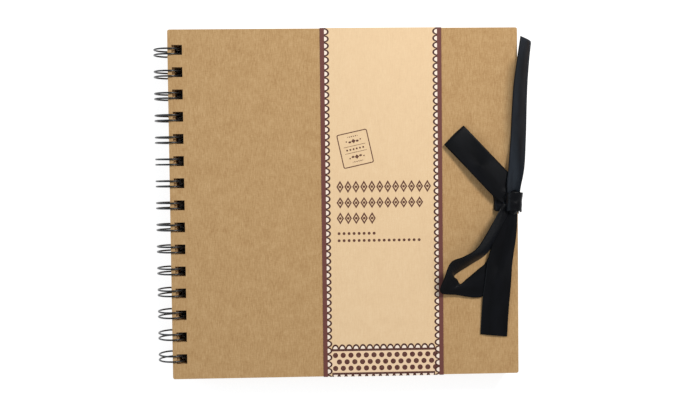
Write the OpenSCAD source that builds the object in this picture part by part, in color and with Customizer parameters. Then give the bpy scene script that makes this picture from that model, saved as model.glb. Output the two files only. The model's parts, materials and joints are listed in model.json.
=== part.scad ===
// Wire-bound scrapbook album, 8 inch square, closed by a ribbon tied in a bow.
// It lies on its back cover. X runs from the spine to the fore edge, Y up the page, Z up.
// The origin is under the middle of the cover, level with the lowest point of the wire loops.
// Every loop is centred on the axis that the covers and leaves turn about.

/* [Covers] */
// Side of each square cover
cover_side = 201; // [190:0.5:310]
// Thickness of each cover board
cover_t = 1.5; // [1:0.1:3]
// Radius of the covers' corners
corner_r = 1.2; // [0.5:0.1:8]
// Thickness of the paper lining inside each cover
liner_t = 0.2; // [0.1:0.05:0.5]
// Distance from a cover's edge to its lining
liner_inset = 3; // [2:0.5:8]

/* [Leaves] */
// Number of kraft leaves in each pack
leaves_per_pack = 6; // [1:1:10]
// Thickness of one leaf
leaf_t = 0.18; // [0.1:0.01:0.4]
// Height that one leaf takes up in the stack
leaf_pitch = 0.2; // [0.12:0.01:0.45]
// Height of a leaf along the spine
leaf_h = 199; // [180:0.5:305]
// Distance from the covers' fore edge to the leaves' fore edge
leaf_fore_gap = 1.2; // [0.5:0.1:4]
// Distance from the covers' spine edge to the leaves' spine edge
leaf_recess = 1.2; // [0.8:0.1:2]

/* [Wire binding] */
// Number of double loops
loops = 15; // [3:1:23]
// Distance from one double loop to the next
pitch = 12.7; // [8.4:0.1:14]
// Diameter of the coated wire
wire_d = 1; // [0.8:0.1:1.4]
// Radius of a loop, to the middle of the wire
ring_r = 8.85; // [6:0.05:14]
// Distance between the two wires of a double loop
pair_gap = 3.1; // [2:0.1:5]
// Distance from the loops' axis to the covers' spine edge
spine_gap = 0.3; // [0.2:0.05:1]
// Width of a square hole, along X
hole_w = 6; // [4:0.1:7]
// Height of a square hole, along Y
hole_h = 5.7; // [4:0.1:7]
// Distance from a sheet's own spine edge to its holes
hole_margin = 2.3; // [1.5:0.1:4]

/* [Paper band] */
// Width of the printed paper band
band_w = 70; // [30:1:120]
// Distance from the covers' spine edge to the band
band_x = 87; // [20:1:120]
// Thickness of the band's paper
band_t = 0.2; // [0.1:0.05:0.4]
// Room between the band and what it lies on
band_gap = 0.06; // [0.03:0.01:0.3]

/* [Ribbon] */
// Width of the satin ribbon
ribbon_w = 15.8; // [6:0.2:25]
// Thickness of the ribbon
ribbon_t = 0.4; // [0.2:0.05:0.8]
// Width of the knot, along X
knot_w = 9; // [5:0.5:20]
// Height of the knot, along Y
knot_h = 14.5; // [6:0.5:25]
// How far the knot stands above the cover
knot_z = 8; // [3:0.5:15]

/* [Hidden] */
$fn = 48;
packs = 10;
half = cover_side / 2;
wire_r = wire_d / 2;
// the gap under the front cover that the band's inner side lies in
band_room = band_t + 2 * band_gap + 0.02;
block_t = packs * leaves_per_pack * leaf_pitch;
stack_t = 2 * (cover_t + liner_t) + block_t + band_room;
// the loops' axis: the wire's lowest point is at z = 0
axis_z = ring_r + wire_r + 0.06;
axis_x = -half - spine_gap;
stack_z = axis_z - stack_t / 2;
back_liner_z = stack_z + cover_t;
leaf_z = back_liner_z + liner_t;
front_liner_z = stack_z + stack_t - cover_t - liner_t;
front_z = stack_z + stack_t - cover_t;
top_z = stack_z + stack_t;
leaf_x = -half + leaf_recess;
leaf_w = cover_side - leaf_recess - leaf_fore_gap;
first_y = (loops - 1) * pitch / 2;
// where a loop's wires start, at the straight run, and where its hairpin end starts
start_a = -82;
tip_a = 252;
// each stretch of wire stops this far inside the joint at its end
joint_in = 0.2;
run_l = pitch - pair_gap - 2 * joint_in;

kraft = [0.72, 0.58, 0.40];
paper = [0.76, 0.63, 0.45];
satin = [0.08, 0.08, 0.10];
print_paper = [0.90, 0.78, 0.61];

// the row of square holes, cut through whatever lies at x0
module holes(x0, z, t) {
  for (i = [0 : loops - 1])
    translate([x0 + hole_margin, first_y - i * pitch - hole_h / 2, z - 1])
      cube([hole_w, hole_h, t + 2]);
}

module rounded_board(t) {
  linear_extrude(height = t)
    union() {
      square([cover_side - 2 * corner_r, cover_side], center = true);
      square([cover_side, cover_side - 2 * corner_r], center = true);
      for (x = [-1, 1])
        for (y = [-1, 1])
          translate([x * (half - corner_r), y * (half - corner_r)])
            circle(r = corner_r);
    }
}

module cover(z) {
  color(kraft)
    difference() {
      translate([0, 0, z]) rounded_board(cover_t);
      holes(-half, z, cover_t);
    }
}

// the lining starts past the holes, so that it leaves them clear
module liner(z) {
  x0 = -half + hole_margin + hole_w + 2;
  color(paper)
    translate([x0, -half + liner_inset, z])
      cube([half - liner_inset - x0, cover_side - 2 * liner_inset, liner_t]);
}

module leaf(z) {
  difference() {
    translate([leaf_x, -leaf_h / 2, z]) cube([leaf_w, leaf_h, leaf_t]);
    holes(leaf_x, z, leaf_t);
  }
}

// pack 1 lies under the front cover, and pack 10 on the back cover
module leaf_pack(k) {
  base = leaf_z + (packs - k) * leaves_per_pack * leaf_pitch;
  color(paper)
    for (i = [0 : leaves_per_pack - 1])
      leaf(base + i * leaf_pitch + (leaf_pitch - leaf_t) / 2);
}

// one wire of a loop, most of a circle round the axis
module loop_wire(y) {
  trim = joint_in / ring_r * 180 / PI;
  translate([0, y, 0])
    rotate([90, 0, 0])
      rotate([0, 0, start_a + trim])
        rotate_extrude(angle = tip_a - start_a - 2 * trim)
          translate([ring_r, 0]) circle(r = wire_r);
}

// the hairpin that joins a loop's two wires at its closed end
module hairpin(y) {
  trim = joint_in / (pair_gap / 2) * 180 / PI;
  translate([0, y, 0])
    rotate([0, -tip_a, 0])
      translate([ring_r, 0, 0])
        rotate([0, 90, 0])
          rotate([0, 0, 90 + trim])
            rotate_extrude(angle = 180 - 2 * trim)
              translate([pair_gap / 2, 0]) circle(r = wire_r);
}

// the coating is a little thicker where one stretch of wire passes into the next
module joint(y, a) {
  rotate([0, -a, 0])
    translate([ring_r, y, 0])
      rotate([0, 0, 45])
        sphere(r = wire_r + 0.12);
}

// the straight run between two loops
module run(y) {
  rotate([0, -start_a, 0])
    translate([ring_r, y + run_l / 2, 0])
      rotate([90, 0, 0])
        cylinder(r = wire_r, h = run_l);
}

module double_loop(y) {
  for (side = [-1, 1]) {
    loop_wire(y + side * pair_gap / 2);
    joint(y + side * pair_gap / 2, tip_a);
    joint(y + side * pair_gap / 2, start_a);
  }
  hairpin(y);
}

module binding_wire() {
  color([0.06, 0.06, 0.06])
    translate([axis_x, 0, axis_z])
      union() {
        for (i = [0 : loops - 1])
          double_loop(first_y - i * pitch);
        for (i = [0 : loops - 2])
          run(first_y - (i + 0.5) * pitch);
      }
}

// the band is a closed sleeve of paper round the front cover, in four flat panels:
// the face, the side under the lining, and a fold at each end of the cover
band_lo = front_liner_z - band_gap - band_t;
band_hi = top_z + band_gap + band_t;
band_y = half + band_gap;

module band_panel(y0, y1, z0, z1) {
  color(print_paper)
    translate([-half + band_x, y0, z0])
      cube([band_w, y1 - y0, z1 - z0]);
}

module band_face() band_panel(-band_y, band_y, band_hi - band_t, band_hi);
module band_inner_face() band_panel(-band_y, band_y, band_lo, band_lo + band_t);
module band_head_fold() band_panel(band_y, band_y + band_t, band_lo, band_hi);
module band_foot_fold() band_panel(-band_y - band_t, -band_y, band_lo, band_hi);

// the cover's own ribbon, glued flat on the board and run out under the knot
module front_ribbon() {
  color(satin)
    translate([half - 14, -ribbon_w / 2, top_z + 0.05])
      cube([14.5, ribbon_w, ribbon_t]);
}

// the back cover's ribbon comes out of the fore edge and stands up the side of the leaves
module back_ribbon() {
  color(satin)
    translate([0, ribbon_w / 2, 0])
      rotate([90, 0, 0])
        linear_extrude(height = ribbon_w)
          polygon([
            [half - 14, stack_z - 0.05],
            [half - 14, stack_z - 0.05 - ribbon_t],
            [half + 0.9, stack_z - 0.05 - ribbon_t],
            [half + 1.2, stack_z + 0.2],
            [half + 1.2, front_z - 0.6],
            [half + 1.2 - ribbon_t, front_z - 0.6],
            [half + 1.2 - ribbon_t, stack_z + 0.2],
            [half + 0.65, stack_z - 0.05]
          ]);
}

bow_x = half - 0.6;
bow_z = top_z + 0.05 + ribbon_t;

// the knot: ribbon wrapped round, so a block with rounded sides
module bow_knot() {
  r = 2.6;
  color(satin)
    translate([bow_x, 0, bow_z + 0.05])
      rotate([0, 0, 8])
        intersection() {
          translate([0, knot_h / 2, 0])
            rotate([90, 0, 0])
              linear_extrude(height = knot_h)
                union() {
                  translate([-knot_w / 2 + r, 0]) square([knot_w - 2 * r, knot_z]);
                  translate([-knot_w / 2, r]) square([knot_w, knot_z - 2 * r]);
                  for (x = [-1, 1])
                    for (z = [r, knot_z - r])
                      translate([x * (knot_w / 2 - r), z]) circle(r = r);
                }
          translate([0, 0, -1])
            linear_extrude(height = knot_z + 2)
              union() {
                square([knot_w + 2, knot_h - 2 * r], center = true);
                square([knot_w - 2 * r, knot_h + 2], center = true);
                for (x = [-1, 1])
                  for (y = [-1, 1])
                    translate([x * (knot_w / 2 - r), y * (knot_h / 2 - r)]) circle(r = r);
              }
        }
}

// a loop lying nearly flat: two layers joined by a round fold at the far end
module flat_loop(length, near_h, far_h) {
  fold_r = far_h / 2;
  rotate([90, 0, 0])
    linear_extrude(height = ribbon_w, center = true)
      difference() {
        union() {
          polygon([[0, 0], [length - fold_r, 0], [length - fold_r, far_h], [0, near_h]]);
          translate([length - fold_r, fold_r]) circle(r = fold_r);
        }
        union() {
          polygon([
            [-1, ribbon_t],
            [length - fold_r, ribbon_t],
            [length - fold_r, far_h - ribbon_t],
            [-1, near_h - ribbon_t]
          ]);
          translate([length - fold_r, fold_r]) circle(r = fold_r - ribbon_t);
        }
      }
}

// the upper loop points up and towards the spine
module bow_upper_loop() {
  color(satin)
    translate([half - 8.4, 8.2, bow_z + 0.1])
      rotate([0, 0, 132.8])
        flat_loop(40.5, 6, 2.6);
}

// the lower loop points down and towards the spine, and stands open on its edge, on the tail
module bow_lower_loop() {
  color(satin)
    translate([half - 7, -2, bow_z + 0.2 + ribbon_t])
      linear_extrude(height = 9.5)
        difference() {
          polygon([
            [0, 0], [-11.6, -13.5], [-17.2, -22.9], [-33, -32.5], [-36.5, -41],
            [-36.5, -46.5], [-29, -47.5], [-12.7, -36.1], [-3, -12]
          ]);
          polygon([
            [-2.2, -6], [-11.3, -15], [-16.3, -24.1], [-32.3, -33.5], [-35.6, -41.2],
            [-35.6, -45.6], [-29.3, -46.4], [-13.4, -35.3], [-4.4, -12.5]
          ]);
        }
}

// the upper tail leans over the fore edge, nearly on its edge
module bow_upper_tail() {
  color(satin)
    translate([half - 4, 9.5, bow_z + 0.6])
      rotate([0, 0, -4.2])
        rotate([0, -70, 0])
          linear_extrude(height = ribbon_t)
            polygon([[0, 0], [0, 85.5], [ribbon_w, 78.5], [ribbon_w, 6], [9, 0]]);
}

// the lower tail lies flat below the knot
module bow_lower_tail() {
  color(satin)
    translate([half - 15.2, -8.5, bow_z + 0.1])
      rotate([0, 0, -5.5])
        linear_extrude(height = ribbon_t)
          polygon([[0, -69.5], [ribbon_w, -70.3], [ribbon_w - 3, 0], [3.4, 0]]);
}

cover(stack_z);  // back_cover
liner(back_liner_z);  // back_liner
binding_wire();
back_ribbon();
leaf_pack(1);  // leaves_01
leaf_pack(2);  // leaves_02
leaf_pack(3);  // leaves_03
leaf_pack(4);  // leaves_04
leaf_pack(5);  // leaves_05
leaf_pack(6);  // leaves_06
leaf_pack(7);  // leaves_07
leaf_pack(8);  // leaves_08
leaf_pack(9);  // leaves_09
leaf_pack(10);  // leaves_10
cover(front_z);  // front_cover
liner(front_liner_z);  // front_liner
front_ribbon();
band_face();
band_inner_face();
band_head_fold();
band_foot_fold();
bow_knot();
bow_upper_loop();
bow_lower_loop();
bow_upper_tail();
bow_lower_tail();
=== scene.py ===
"""The looks of the scrapbook album: kraft board, coated wire, printed band and a satin bow."""
import json
import math

import bpy
import numpy as np
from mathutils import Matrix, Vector


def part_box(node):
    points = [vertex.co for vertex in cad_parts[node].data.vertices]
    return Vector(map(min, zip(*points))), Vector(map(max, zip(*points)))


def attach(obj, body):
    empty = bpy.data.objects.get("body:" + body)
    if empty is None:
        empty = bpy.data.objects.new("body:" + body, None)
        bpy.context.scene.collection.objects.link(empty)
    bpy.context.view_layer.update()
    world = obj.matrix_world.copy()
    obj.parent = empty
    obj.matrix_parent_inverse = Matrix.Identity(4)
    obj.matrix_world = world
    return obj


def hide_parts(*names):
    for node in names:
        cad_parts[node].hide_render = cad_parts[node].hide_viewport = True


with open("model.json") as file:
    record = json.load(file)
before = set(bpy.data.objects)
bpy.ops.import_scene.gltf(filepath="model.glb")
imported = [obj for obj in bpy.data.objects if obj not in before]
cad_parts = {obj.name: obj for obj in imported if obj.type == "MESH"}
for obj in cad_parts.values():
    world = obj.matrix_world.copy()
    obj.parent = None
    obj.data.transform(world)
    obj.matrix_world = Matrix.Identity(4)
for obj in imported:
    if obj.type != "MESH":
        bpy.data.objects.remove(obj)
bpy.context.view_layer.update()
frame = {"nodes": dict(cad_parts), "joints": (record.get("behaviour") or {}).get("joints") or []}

MM = 0.001
nodes = frame["nodes"]


def mm_box(node):
    """The lowest and highest corners of a CAD node, in mm."""
    return [[round(v / MM, 3) for v in corner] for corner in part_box(node)]


HALF, _, TOP = mm_box("front_cover")[1]  # half a cover's side, and the front cover's upper face
BACK = mm_box("back_cover")[0][2]  # the back cover's lower face
BAND_LEFT, BAND_RIGHT = (corner[0] for corner in mm_box("band_face"))
BAND_W = BAND_RIGHT - BAND_LEFT
RIBBON_W = 2 * mm_box("back_ribbon")[1][1]
cover_hinge = next(j for j in frame["joints"] if j["name"] == "cover_open")
AXIS_X, _, AXIS_Z = (round(v / MM, 3) for v in cover_hinge["pos_m"])  # the loops' axis

# the binding, in mm
LOOPS = 15
PITCH = 12.7  # from loop to loop
PAIR_GAP = 3.1  # between the two wires of a loop
RING_R = 8.85  # of the loops' middle line
WIRE_R = 0.5

CLOTH_T = 0.3  # the ribbon's thickness

# ---------------------------------------------------------------- materials


def rgb(r, g, b):
    """A colour given as on a screen, 0 to 255, as the linear value a shader takes."""
    out = []
    for c in (r, g, b):
        c /= 255
        out.append(c / 12.92 if c <= 0.04045 else ((c + 0.055) / 1.055) ** 2.4)
    return (*out, 1.0)


class Graph:
    """Short names for building one material's nodes."""

    def __init__(self, name):
        self.mat = bpy.data.materials.new(name)
        self.mat.use_nodes = True
        self.tree = self.mat.node_tree
        self.bsdf = self.tree.nodes["Principled BSDF"]

    def node(self, kind, **props):
        n = self.tree.nodes.new(kind)
        for k, v in props.items():
            setattr(n, k, v)
        return n

    def put(self, socket, value):
        if isinstance(value, bpy.types.NodeSocket):
            self.tree.links.new(value, socket)
        else:
            socket.default_value = value

    def m(self, op, a, b=0.0, c=0.0):
        n = self.node("ShaderNodeMath", operation=op)
        for i, x in enumerate((a, b, c)):
            self.put(n.inputs[i], x)
        return n.outputs[0]

    def add(self, a, b):
        return self.m("ADD", a, b)

    def sub(self, a, b):
        return self.m("SUBTRACT", a, b)

    def mul(self, a, b):
        return self.m("MULTIPLY", a, b)

    def abs(self, a):
        return self.m("ABSOLUTE", a)

    def less(self, a, b):
        return self.m("LESS_THAN", a, b)

    def more(self, a, b):
        return self.m("GREATER_THAN", a, b)

    def both(self, *masks):
        out = masks[0]
        for x in masks[1:]:
            out = self.mul(out, x)
        return out

    def any(self, *masks):
        out = masks[0]
        for x in masks[1:]:
            out = self.m("MAXIMUM", out, x)
        return out

    def length(self, a, b):
        return self.m("SQRT", self.add(self.mul(a, a), self.mul(b, b)))

    def within(self, value, low, high):
        return self.both(self.more(value, low), self.less(value, high))

    def near(self, value, middle, reach):
        return self.less(self.abs(self.sub(value, middle)), reach)

    def repeat(self, value, pitch, offset=0.0):
        """How far value is from the middle of its stretch of the pitch."""
        part = self.m("FRACT", self.m("DIVIDE", self.sub(value, offset), pitch))
        return self.mul(self.sub(part, 0.5), pitch)

    def mm(self, scale=(1, 1, 1), uv=False):
        """The object's own coordinates in millimetres, stretched."""
        coord = self.node("ShaderNodeTexCoord")
        mapping = self.node("ShaderNodeMapping")
        k = 1 if uv else 1000
        mapping.inputs["Scale"].default_value = [k * s for s in scale]
        self.put(mapping.inputs["Vector"], coord.outputs["UV" if uv else "Object"])
        return mapping.outputs[0]

    def noise(self, vector, scale, detail=4.0, rough=0.55):
        n = self.node("ShaderNodeTexNoise")
        self.put(n.inputs["Vector"], vector)
        n.inputs["Scale"].default_value = scale
        n.inputs["Detail"].default_value = detail
        n.inputs["Roughness"].default_value = rough
        return n.outputs["Fac"]

    def mix(self, fac, a, b):
        n = self.node("ShaderNodeMix", data_type="RGBA")
        # a mix node's colour sockets come after its plain and vector ones
        self.put(n.inputs[0], fac)
        self.put(n.inputs[6], a)
        self.put(n.inputs[7], b)
        return n.outputs[2]

    def ramp(self, fac, *stops):
        n = self.node("ShaderNodeValToRGB")
        while len(n.color_ramp.elements) < len(stops):
            n.color_ramp.elements.new(0.5)
        for e, (at, colour) in zip(n.color_ramp.elements, stops):
            e.position, e.color = at, colour
        self.put(n.inputs["Fac"], fac)
        return n.outputs["Color"]

    def bump(self, height, strength, distance):
        n = self.node("ShaderNodeBump")
        n.inputs["Strength"].default_value = strength
        n.inputs["Distance"].default_value = distance
        self.put(n.inputs["Height"], height)
        self.put(self.bsdf.inputs["Normal"], n.outputs["Normal"])

    def set(self, **values):
        """Puts values on the shader's own sockets, named with _ for each space."""
        for k, v in values.items():
            self.put(self.bsdf.inputs[k.replace("_", " ")], v)


def paper_grain(g, dark, mid, light):
    """Mottled pulp with short fibres: returns its colour and its height."""
    cloud = g.noise(g.mm(), 0.12, 5, 0.6)
    fibre_x = g.noise(g.mm((0.5, 2.6, 1)), 1.0, 3, 0.6)
    fibre_y = g.noise(g.mm((2.2, 0.3, 1)), 1.0, 3, 0.6)
    speck = g.noise(g.mm(), 2.6, 2, 0.5)
    fibres = g.add(g.m("MULTIPLY_ADD", fibre_x, 0.24, g.mul(fibre_y, 0.46)), g.mul(speck, 0.14))
    tone = g.add(g.mul(cloud, 0.2), g.mul(fibres, 0.95))
    colour = g.ramp(tone, (0.3, dark), (0.5, mid), (0.7, light))
    flecks = g.ramp(g.noise(g.mm((0.7, 2.2, 1)), 1.3, 1, 0.4), (0.66, (0, 0, 0, 1)), (0.72, (1, 1, 1, 1)))
    return g.mix(g.mul(flecks, 0.16), colour, dark), fibres


def tinted(tint, *colours):
    return [rgb(*[tint * c for c in colour]) for colour in colours]


def kraft(name, tint=1.0):
    g = Graph(name)
    shades = tinted(tint, (159, 118, 74), (186, 149, 102), (208, 173, 127))
    colour, height = paper_grain(g, *shades)
    g.set(Base_Color=colour, Roughness=0.86, Specular_IOR_Level=0.22)
    g.bump(height, 0.3, 0.00012)
    return g.mat


def leaf_paper(name, tint):
    """Kraft leaves, with faint layers in the height of the stack."""
    g = Graph(name)
    shades = tinted(tint, (172, 133, 88), (193, 158, 113), (210, 178, 134))
    colour, height = paper_grain(g, *shades)
    layer = g.noise(g.mm((0.02, 0.02, 6)), 1.0, 1, 0.4)
    colour = g.mix(g.mul(layer, 0.3), colour, rgb(150, 112, 72))
    g.set(Base_Color=colour, Roughness=0.88, Specular_IOR_Level=0.2)
    g.bump(height, 0.25, 0.0001)
    return g.mat


def coated_wire():
    g = Graph("coated_wire")
    cloud = g.noise(g.mm(), 0.8, 4, 0.6)
    g.set(
        Base_Color=g.ramp(cloud, (0.35, rgb(11, 11, 12)), (0.75, rgb(24, 24, 26))),
        Roughness=g.m("MULTIPLY_ADD", cloud, 0.2, 0.22),
        Metallic=0.0,
        Coat_Weight=0.2,
        Coat_Roughness=0.18,
    )
    g.bump(g.noise(g.mm(), 3.0, 2, 0.5), 0.12, 0.00004)
    return g.mat


def satin(name, low, high, sheen):
    """Black satin: fine yarns along the ribbon, a woven edge and a faint cool sheen."""
    yarn_pitch, pick_pitch, edge_w = 0.42, 0.55, 0.75
    g = Graph(name)
    split = g.node("ShaderNodeSeparateXYZ")
    g.put(split.inputs[0], g.mm(uv=True))
    across, along = split.outputs[0], split.outputs[1]
    yarns = g.m("SINE", g.mul(across, 2 * math.pi / yarn_pitch))
    picks = g.m("SINE", g.mul(along, 2 * math.pi / pick_pitch))
    cloud = g.noise(g.mm((0.16, 0.05, 1), uv=True), 1.0, 3, 0.55)
    edge = g.more(g.abs(g.sub(across, RIBBON_W / 2)), RIBBON_W / 2 - edge_w)
    colour = g.ramp(cloud, (0.3, low), (0.72, high))
    g.set(
        Base_Color=g.mix(g.mul(edge, 0.55), colour, rgb(9, 9, 10)),
        Roughness=g.m("MULTIPLY_ADD", cloud, 0.16, 0.3),
        Specular_IOR_Level=0.1,
        Anisotropic=0.5,
        Sheen_Weight=sheen,
        Sheen_Roughness=0.35,
        Sheen_Tint=(0.55, 0.7, 1.0, 1.0),
    )
    weave = g.add(g.mul(yarns, 0.5), g.mul(picks, 0.3))
    g.bump(g.add(weave, g.mul(edge, 1.6)), 0.3, 0.00004)
    return g.mat


def diamonds(g, u, v, row):
    """Outlined diamonds with a dot in each, from row = (left, right, middle, half height)."""
    left, right, middle, high = row
    pitch, half_w, dot_r = 4.6, 2.1, 0.75
    du = g.abs(g.repeat(u, pitch, left))
    dv = g.abs(g.sub(v, middle))
    shape = g.add(g.m("DIVIDE", du, half_w), g.m("DIVIDE", dv, high))
    outline = g.near(shape, 0.78, 0.22)
    dot = g.less(g.length(du, dv), dot_r)
    return g.both(g.any(outline, dot), g.within(u, left, right))


def beads(g, u, v, row):
    """A row of round beads, from row = (left, right, middle, radius)."""
    left, right, middle, radius = row
    pitch = 2.9
    d = g.length(g.repeat(u, pitch, left), g.sub(v, middle))
    return g.both(g.less(d, radius), g.within(u, left, right))


def stamp(g, u, v):
    """A tilted frame with a beaded row between two rules and a sprig above and below."""
    centre_u, centre_v, turn = 19.7, 131.9, math.radians(12.3)
    half_w, half_h, corner_r, half_line = 8.7, 9.7, 0.9, 0.3
    du, dv = g.sub(u, centre_u), g.sub(v, centre_v)
    x = g.add(g.mul(du, math.cos(turn)), g.mul(dv, math.sin(turn)))
    y = g.sub(g.mul(dv, math.cos(turn)), g.mul(du, math.sin(turn)))
    ax, ay = g.abs(x), g.abs(y)
    qx, qy = g.sub(ax, half_w - corner_r), g.sub(ay, half_h - corner_r)
    outside = g.length(g.m("MAXIMUM", qx, 0.0), g.m("MAXIMUM", qy, 0.0))
    inside = g.m("MINIMUM", g.m("MAXIMUM", qx, qy), 0.0)
    frame_line = g.near(g.add(outside, inside), corner_r, half_line)
    rules = g.both(g.near(ay, 1.9, 0.14), g.less(ax, 6.4))
    row = g.both(g.less(g.length(g.repeat(x, 1.9), y), 0.55), g.less(ax, 5.7))
    lozenge = g.less(g.add(ax, g.abs(g.sub(ay, 4.6))), 1.3)
    leaves = g.less(g.length(g.mul(g.sub(ax, 2.2), 0.7), g.sub(ay, 4.3)), 0.6)
    tips = g.less(g.length(g.sub(ax, 4.1), g.sub(ay, 4.9)), 0.42)
    arch = g.both(g.less(g.length(g.repeat(x, 1.2), g.sub(ay, 7.3)), 0.34), g.less(ax, 3.0))
    return g.any(frame_line, rules, row, lozenge, leaves, tips, arch)


def scallops(g, depth, along, offset):
    """The outline and the fill of half ellipses that stand side by side on the line where depth is 0."""
    high, half_w, pitch, line_from, line_to = 2.6, 1.95, 4.0, 0.64, 1.05
    e = g.length(g.m("DIVIDE", depth, high), g.m("DIVIDE", g.repeat(along, pitch, offset), half_w))
    up = g.more(depth, 0.0)
    return g.both(up, g.within(e, line_from, line_to)), g.both(up, g.less(e, line_from))


def dot_rows(g, u, v):
    """Three rows of dots, the middle one set half a pitch along."""
    pitch, radius, rows = 4.48, 1.52, (12.2, 8.35, 4.6)
    insets = (4.75, 4.75 + pitch / 2, 4.75)
    masks = []
    for row_v, inset in zip(rows, insets):
        d = g.length(g.repeat(u, pitch, inset), g.sub(v, row_v))
        masks.append(g.both(g.less(d, radius), g.within(u, inset + 0.4, BAND_W + 1.9 - inset)))
    return g.any(*masks)


def band_print():
    """Tan paper with brown striped and scalloped borders, a dotted strip and plain ornament."""
    stripe_w, border_w = 2.5, 5.0
    low_rule, high_rule = (0.9, 2.1), (14.6, 15.9)  # the strip's two ruled lines, up from the foot
    g = Graph("band_print")
    split = g.node("ShaderNodeSeparateXYZ")
    g.put(split.inputs[0], g.mm())
    x, y, z = split.outputs
    u, v = g.sub(x, BAND_LEFT), g.add(y, HALF)
    side = g.m("MINIMUM", u, g.sub(BAND_W, u))
    face = g.more(z, TOP - 0.1)
    middle = g.both(face, g.more(side, border_w))
    stripe = g.less(side, stripe_w)
    edge_line, edge_fill = scallops(g, g.sub(side, stripe_w), v, 1.0)
    row_line, row_fill = scallops(g, g.sub(v, high_rule[1]), u, 1.0)
    low_line, low_fill = scallops(g, g.sub(low_rule[0], v), u, 1.0)
    rules = g.any(g.within(v, *high_rule), g.within(v, *low_rule))
    ornament = g.any(
        diamonds(g, u, v, (8.4, 63.6, 110.0, 3.6)),
        diamonds(g, u, v, (8.4, 59.0, 100.8, 3.3)),
        diamonds(g, u, v, (8.4, 31.4, 91.8, 3.5)),
        beads(g, u, v, (8.4, 31.6, 83.0, 0.85)),
        beads(g, u, v, (8.4, 57.7, 78.9, 0.85)),
        stamp(g, u, v),
    )
    pulp, height = paper_grain(g, rgb(221, 187, 145), rgb(231, 198, 155), rgb(239, 209, 168))
    # the sheet lightens towards its head, and the dotted strip is paler
    rise = g.m("DIVIDE", v, 2 * HALF)
    pulp = g.mix(g.mul(rise, 0.2), pulp, rgb(234, 204, 164))
    pulp = g.mix(g.both(g.within(v, low_rule[1], high_rule[0]), face, 0.75), pulp, rgb(243, 211, 176))
    worn = g.m("MULTIPLY_ADD", g.noise(g.mm(), 1.1, 4, 0.7), 0.35, 0.8)
    cream, outline = rgb(250, 232, 214), rgb(78, 44, 36)
    colour = g.mix(g.both(dot_rows(g, u, v), face, worn), pulp, rgb(88, 44, 38))
    colour = g.mix(g.both(g.any(row_fill, low_fill), middle), colour, cream)
    colour = g.mix(g.both(g.any(row_line, low_line), middle), colour, outline)
    colour = g.mix(g.both(rules, middle, worn), colour, rgb(80, 40, 36))
    colour = g.mix(g.both(edge_fill, g.less(side, border_w + 0.3)), colour, cream)
    colour = g.mix(edge_line, colour, outline)
    colour = g.mix(g.both(ornament, middle, worn), colour, rgb(92, 52, 40))
    colour = g.mix(stripe, colour, rgb(110, 64, 57))
    g.set(Base_Color=colour, Roughness=0.62, Specular_IOR_Level=0.3)
    g.bump(height, 0.15, 0.00008)
    return g.mat


MAT = {
    "board": kraft("kraft_board"),
    "lining": kraft("kraft_lining", 0.97),
    "wire": coated_wire(),
    "satin": satin("satin_ribbon", rgb(9, 10, 12), rgb(16, 17, 21), 0.05),
    # the same satin made paler and bluer for the upper tail: a painted cool sheen
    "satin_painted_sheen": satin("satin_ribbon_painted_sheen", rgb(33, 36, 41), rgb(46, 51, 58), 0.1),
    "band": band_print(),
}


# ---------------------------------------------------------------- boards, leaves and band


def dress(node, material):
    """Gives a CAD node its material."""
    obj = nodes[node]
    for s in obj.material_slots:
        s.material = material
    if not obj.material_slots:
        obj.data.materials.append(material)


def bevel(node, width):
    b = nodes[node].modifiers.new("edge", "BEVEL")
    b.width, b.segments = width * MM, 2
    b.limit_method, b.angle_limit = "ANGLE", math.radians(50)


for name in ("front_cover", "back_cover"):
    dress(name, MAT["board"])
    bevel(name, 0.22)
for name in ("front_liner", "back_liner"):
    dress(name, MAT["lining"])
leaf_tints = (0.97, 1.0, 0.985, 1.01, 0.96)
for k in range(1, 11):
    dress(f"leaves_{k:02d}", leaf_paper(f"leaf_{k:02d}", leaf_tints[k % len(leaf_tints)]))
for name in ("band_face", "band_inner_face", "band_head_fold", "band_foot_fold"):
    dress(name, MAT["band"])

# ---------------------------------------------------------------- mesh helpers


def link(obj):
    bpy.context.scene.collection.objects.link(obj)
    return obj


def mesh_object(name, verts, faces, material, uvs):
    """A smooth mesh from points in mm, with the ribbon's own millimetres as its UV map."""
    mesh = bpy.data.meshes.new(name)
    mesh.from_pydata([tuple(v * MM for v in p) for p in verts], [], faces)
    layer = mesh.uv_layers.new(name="ribbon")
    for poly in mesh.polygons:
        poly.use_smooth = True
        for i in poly.loop_indices:
            layer.data[i].uv = uvs[mesh.loops[i].vertex_index]
    mesh.validate()
    mesh.update()
    mesh.materials.append(material)
    return link(bpy.data.objects.new(name, mesh))


def through(points, per):
    """A smooth line through the points, by Catmull-Rom, with per steps between each two."""
    p = np.array(points, float)
    p = np.vstack([2 * p[0] - p[1], p, 2 * p[-1] - p[-2]])
    out = []
    for i in range(1, len(p) - 2):
        for t in np.arange(per) / per:
            out.append(
                0.5
                * (
                    2 * p[i]
                    + (p[i + 1] - p[i - 1]) * t
                    + (2 * p[i - 1] - 5 * p[i] + 4 * p[i + 1] - p[i + 2]) * t**2
                    + (3 * p[i] - p[i - 1] - 3 * p[i + 1] + p[i + 2]) * t**3
                )
            )
    out.append(p[-2])
    return np.array(out)


def gathers(pleats, share, t):
    """How far pleats lift the cloth, at this share of its length and t of the way across.

    pleats are (from, to, depth, number), from and to along the length as shares."""
    lift = 0.0
    for start, end, depth, number in pleats:
        centre, spread = (start + end) / 2, (end - start) / 2
        fade = max(0.0, 1 - ((share - centre) / spread) ** 2)
        lift += depth * fade * math.sin(math.pi * t) * math.sin(2 * math.pi * number * t + 1.3 * share)
    return lift


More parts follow.
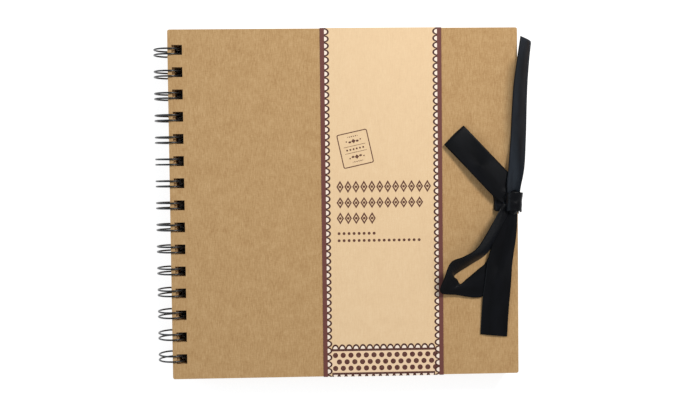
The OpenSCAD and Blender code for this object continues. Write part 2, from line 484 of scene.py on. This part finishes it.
def strip(name, stations, crown, pleats=(), per=10, base=TOP, face="satin"):
    """A ribbon through stations of two edge points, given in plan with their height above base.

    crown lifts the middle of the width, and per is the number of steps between stations."""
    cols = 20
    a = through([s[0] for s in stations], per)
    b = through([s[1] for s in stations], per)
    middle = (a + b) / 2
    along = np.concatenate([[0], np.cumsum(np.linalg.norm(np.diff(middle, axis=0), axis=1))])
    rows = len(a)
    verts, uvs, faces = [], [], []
    step = np.gradient(middle, axis=0)
    for i in range(rows):
        normal = np.cross(step[i], b[i] - a[i])
        normal /= np.linalg.norm(normal)
        for j in range(cols + 1):
            t = j / cols
            lift = crown * math.sin(math.pi * t) + gathers(pleats, i / (rows - 1), t)
            x, y, z = a[i] + (b[i] - a[i]) * t + normal * lift
            verts.append((x, y, z + base))
            uvs.append((t * RIBBON_W, along[i]))
    for i in range(rows - 1):
        for j in range(cols):
            k = i * (cols + 1) + j
            faces.append((k, k + 1, k + cols + 2, k + cols + 1))
    obj = mesh_object(name, verts, faces, MAT[face], uvs)
    solid = obj.modifiers.new("cloth", "SOLIDIFY")
    solid.thickness, solid.offset = CLOTH_T * MM, 0.0
    return obj, float(along[-1])


# ---------------------------------------------------------------- wire binding


def wire_path():
    """The middle of the one wire: up round each loop, about its hairpin end, back, and on to the next."""
    # the closed loops are a little flattened, and lie nearer each other than the holes do
    flatten, closer, shift = 0.95, 0.995, -0.26
    start, tip = math.radians(-82), math.radians(252)
    half, bend_r = PAIR_GAP / 2, 1.0
    arc_steps, hairpin_steps, bend_steps = 44, 12, 6
    turn = bend_r / RING_R  # the angle that a bend takes up
    arc = [start + turn + (tip - start - turn) * k / arc_steps for k in range(arc_steps + 1)]
    points = []

    def add(angle, y):
        x = AXIS_X + flatten * RING_R * math.cos(angle)
        points.append((x, closer * y + shift, AXIS_Z + RING_R * math.sin(angle)))

    for i in range(LOOPS):
        y = ((LOOPS - 1) / 2 - i) * PITCH
        if i > 0:
            for k in range(bend_steps):
                q = math.pi / 2 * k / bend_steps
                add(start + turn * (1 - math.cos(q)), y + half + bend_r * (1 - math.sin(q)))
        for angle in arc:
            add(angle, y + half)
        for k in range(1, hairpin_steps):
            q = math.pi * k / hairpin_steps
            add(tip + half / RING_R * math.sin(q), y + half * math.cos(q))
        for angle in reversed(arc):
            add(angle, y - half)
        if i < LOOPS - 1:
            for k in range(1, bend_steps + 1):
                q = math.pi / 2 * k / bend_steps
                add(start + turn * (1 - math.sin(q)), y - half - bend_r * (1 - math.cos(q)))
    return points


def wire():
    curve = bpy.data.curves.new("wire_loops", "CURVE")
    curve.dimensions = "3D"
    points = wire_path()
    spline = curve.splines.new("POLY")
    spline.points.add(len(points) - 1)
    for p, c in zip(spline.points, points):
        p.co = (*[v * MM for v in c], 1)
    curve.bevel_depth, curve.bevel_resolution, curve.use_fill_caps = WIRE_R * MM, 3, True
    curve.materials.append(MAT["wire"])
    obj = link(bpy.data.objects.new("wire_loops", curve))
    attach(obj, "album_back")
    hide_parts("binding_wire")


wire()

# ---------------------------------------------------------------- ribbon bow


def settled(p):
    """The tied bow lies a little nearer the spine than it is laid out below, and leans as it rises."""
    x, y, z = p
    return (x - 0.97 - 0.038 * z - 0.007 * y, y + 0.42 + 0.043 * z, z)


def ribbon_piece(name, node, body, stations, held="folded", rests=("front_cover",), **how):
    if body == "front":
        stations = [(settled(a), settled(b)) for a, b in stations]
    obj, length = strip(name, stations, **how)
    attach(obj, body)
    if node:
        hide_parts(node)


ribbon_piece(
    "upper_loop_top", "bow_upper_loop", "front",
    [
        ((99.5, 3.0, 3.6), (95.0, -2.5, 4.0)),
        ((98.3, 12.5, 2.7), (90.5, -0.6, 3.8)),
        ((94.2, 17.8, 2.9), (85.6, 3.6, 3.8)),
        ((86.0, 26.4, 3.6), (75.6, 14.4, 3.6)),
        ((78.0, 35.0, 3.4), (67.2, 23.8, 2.8)),
        ((71.6, 42.0, 2.5), (60.4, 31.2, 2.2)),
        ((70.3, 43.4, 1.7), (59.0, 32.5, 1.4)),
        ((71.4, 42.3, 0.8), (60.1, 31.4, 0.7)),
        ((80.0, 33.0, 0.6), (69.0, 22.0, 0.6)),
        ((90.0, 22.4, 1.0), (79.0, 11.2, 0.8)),
        ((97.5, 13.0, 1.2), (88.5, 1.2, 1.8)),
        ((99.0, 3.0, 2.2), (94.5, -2.5, 2.8)),
    ],
    crown=0.35, pleats=((-0.12, 0.14, 0.5, 2.0), (0.86, 1.12, 0.4, 2.0)),
)
ribbon_piece(
    "lower_loop", "bow_lower_loop", "front",
    [
        ((92.5, -1.0, 5.0), (97.0, -7.0, 4.5)),
        ((88.9, -6.3, 8.5), (94.0, -13.0, 2.8)),
        ((82.6, -16.6, 11.6), (88.6, -22.2, 1.8)),
        ((75.6, -27.0, 12.2), (82.4, -30.9, 1.0)),
        ((68.2, -31.6, 12.0), (73.0, -37.0, 0.8)),
        ((60.9, -34.9, 10.4), (64.0, -42.9, 0.7)),
        ((57.4, -43.6, 7.4), (65.4, -45.6, 0.7)),
        ((55.2, -52.6, 3.4), (67.4, -48.2, 0.7)),
        ((64.5, -54.4, 1.6), (71.4, -44.9, 0.6)),
        ((79.5, -55.8, 0.9), (77.8, -39.6, 0.6)),
        ((90.6, -46.2, 0.7), (82.0, -35.9, 0.6)),
        ((95.5, -31.0, 0.9), (86.2, -26.5, 1.0)),
        ((97.6, -14.0, 2.6), (90.6, -12.0, 2.6)),
        ((97.5, -6.0, 3.8), (92.6, -4.0, 3.8)),
    ],
    crown=0.5, pleats=((-0.12, 0.12, 0.5, 2.0), (0.88, 1.12, 0.4, 2.0)),
)
ribbon_piece(
    "upper_tail", "bow_upper_tail", "front",
    [
        ((95.0, 0.5, 5.5), (101.0, -0.5, 5.5)),
        ((94.4, 8.5, 4.9), (101.4, 7.5, 9.5)),
        ((95.6, 19.3, 3.6), (102.8, 18.9, 13.9)),
        ((97.6, 38.0, 0.9), (103.7, 37.2, 14.9)),
        ((98.6, 54.0, 0.9), (104.2, 52.6, 15.2)),
        ((99.7, 68.0, 1.2), (104.8, 66.2, 15.4)),
        ((101.8, 82.5, 1.8), (105.8, 78.4, 15.6)),
        ((103.7, 94.7, 2.4), (106.9, 88.2, 15.6)),
    ],
    # the upper tail takes the satin with the painted cool sheen
    crown=2.4, pleats=((-0.15, 0.3, 0.5, 1.5),), face="satin_painted_sheen",
)
ribbon_piece(
    "lower_tail", "bow_lower_tail", "front",
    [
        ((91.5, -2.0, 5.2), (99.5, -2.0, 5.2)),
        ((89.9, -9.2, 4.8), (100.2, -9.6, 4.6)),
        ((87.0, -20.0, 3.6), (99.6, -21.0, 3.4)),
        ((83.2, -34.0, 2.4), (97.6, -35.3, 2.2)),
        ((81.3, -47.0, 1.9), (96.6, -48.4, 1.7)),
        ((80.0, -57.0, 1.3), (95.7, -58.6, 1.1)),
        ((79.2, -67.0, 0.7), (94.9, -68.6, 0.6)),
        ((78.5, -77.7, 0.5), (94.2, -79.3, 0.5)),
    ],
    crown=0.5, pleats=((-0.1, 0.6, 0.6, 1.5),),
)
ribbon_piece(
    "cover_lead", "front_ribbon", "front",
    [
        ((86.6, 4.6, 0.5), (87.2, -5.0, 0.5)),
        ((87.6, 5.4, 2.6), (88.2, -6.0, 2.4)),
        ((90.5, 5.8, 3.6), (91.0, -6.2, 3.4)),
        ((94.5, 5.0, 4.4), (94.5, -5.6, 4.4)),
    ],
    crown=0.5, pleats=((0.2, 1.2, 0.5, 2.0),),
)
ribbon_piece(
    "back_lead", "back_ribbon", "album_back",
    [
        ((87.0, 7.9, BACK - 0.27), (87.0, -7.9, BACK - 0.27)),
        ((94.0, 7.9, BACK - 0.27), (94.0, -7.9, BACK - 0.27)),
        ((100.7, 7.9, BACK - 0.25), (100.7, -7.9, BACK - 0.25)),
        ((101.4, 7.9, BACK + 0.6), (101.4, -7.9, BACK + 0.6)),
        ((101.6, 7.7, 5.5), (101.6, -7.7, 5.5)),
        ((101.5, 7.5, 10.5), (101.5, -7.5, 10.5)),
        ((101.4, 7.4, 15.1), (101.4, -7.4, 15.1)),
    ],
    held="stretched", rests=("back_cover",), crown=0.15, base=0.0,
)


def knot_core():
    """The gathered ribbon inside the knot: a pleated ball, flat where it lies on the cover."""
    rows, cols = 40, 56
    centre_x, centre_y, centre_z = 98.0, -1.2, 4.6
    half_x, half_y, half_z = 4.3, 7.4, 3.9
    length, floor_z = 14, 0.6
    verts, uvs, faces = [], [], []
    for i in range(rows + 1):
        phi = math.pi * i / rows
        for j in range(cols):
            a = 2 * math.pi * j / cols
            x, y, z = math.sin(phi) * math.cos(a), math.cos(phi), math.sin(phi) * math.sin(a)
            deep = 0.07 * math.sin(phi) * math.sin(7 * a + 1.5 * y)
            pleat = 1 + deep + 0.03 * math.sin(13 * a - 2 * y)
            px, py = centre_x + half_x * x * pleat + 0.5 * y, centre_y + half_y * y
            px, py, pz = settled((px, py, centre_z + half_z * z * pleat))
            verts.append((px, py, TOP + max(pz, floor_z)))
            uvs.append((RIBBON_W * j / cols, length * i / rows))
    for i in range(rows):
        for j in range(cols):
            k, n = i * cols + j, (j + 1) % cols
            faces.append((k, i * cols + n, (i + 1) * cols + n, k + cols))
    core = mesh_object("knot_core", verts, faces, MAT["satin"], uvs)
    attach(core, "front")
    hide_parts("bow_knot")


def knot_wrap():
    """The turn of ribbon over the knot."""
    stations = []
    for k in range(9):
        q = math.radians(-28 + 236 * k / 8)
        x, z, sway = 98.1 + 4.9 * math.cos(q), 4.7 + 4.1 * math.sin(q), math.sin(q)
        stations.append(((x - 0.3, -6.6 + 0.5 * sway, z), (x + 0.5, 4.2 + 0.6 * sway, z)))
    ribbon_piece("knot_wrap", None, "front", stations, crown=0.25, pleats=((-0.3, 1.3, 0.13, 2.0),), per=6)


knot_core()
knot_wrap()

# ---------------------------------------------------------------- stage


def glowing_floor():
    """A plain pale table that glows softly; the glow is left out where the album lies on it, as painted
    shade under the album.
    """
    reach = 3.0
    mesh = bpy.data.meshes.new("floor")
    corners = [(-reach, -reach, 0), (reach, -reach, 0), (reach, reach, 0), (-reach, reach, 0)]
    mesh.from_pydata(corners, [], [(0, 1, 2, 3)])
    g = Graph("floor")
    split = g.node("ShaderNodeSeparateXYZ")
    g.put(split.inputs[0], g.mm())
    out = g.m("MAXIMUM", g.abs(split.outputs[0]), g.abs(split.outputs[1]))
    g.set(
        Base_Color=(0.4, 0.4, 0.4, 1),
        Roughness=0.9,
        Specular_IOR_Level=0.0,
        Emission_Color=(1, 1, 1, 1),
        # no glow inside the album's footprint: painted shade under the album, seen through the binding
        # holes
        Emission_Strength=g.mul(g.more(out, HALF - 1), 0.8),
    )
    mesh.materials.append(g.mat)
    return link(bpy.data.objects.new("floor", mesh))


def area_light(name, place, size, energy, colour):
    """A round lamp, aimed at the album."""
    light = bpy.data.lights.new(name, "AREA")
    light.shape, light.size, light.energy, light.color = "DISK", size, energy, colour
    obj = link(bpy.data.objects.new(name, light))
    obj.location = place
    obj.rotation_euler = (Vector((0, 0, 0.01)) - Vector(place)).to_track_quat("-Z", "Y").to_euler()
    return obj


def studio():
    world = bpy.data.worlds.new("studio")
    world.use_nodes = True
    background = world.node_tree.nodes["Background"]
    background.inputs["Color"].default_value = (1, 1, 1, 1)
    background.inputs["Strength"].default_value = 0.4
    bpy.context.scene.world = world
    bpy.context.scene.view_settings.view_transform = "Standard"


def camera():
    """Straight above, a little off the middle, and turned a degree or two."""
    lens = bpy.data.cameras.new("camera")
    lens.lens, lens.sensor_width = 50.0, 36.0
    lens.clip_start, lens.clip_end = 0.01, 20.0
    eye = link(bpy.data.objects.new("camera", lens))
    eye.location = (-21.3 * MM, 21.2 * MM, 562.0 * MM)
    eye.rotation_euler = [math.radians(a) for a in (-2.0, -1.96, -0.64)]
    bpy.context.scene.camera = eye


floor = glowing_floor()
key = area_light("key_light", (0.42, 0.52, 0.66), 0.26, 6.1, (1.0, 0.985, 0.96))
fill = area_light("fill_light", (-0.8, 0.1, 0.5), 0.6, 3.0, (0.72, 0.86, 1.0))
studio()
camera()
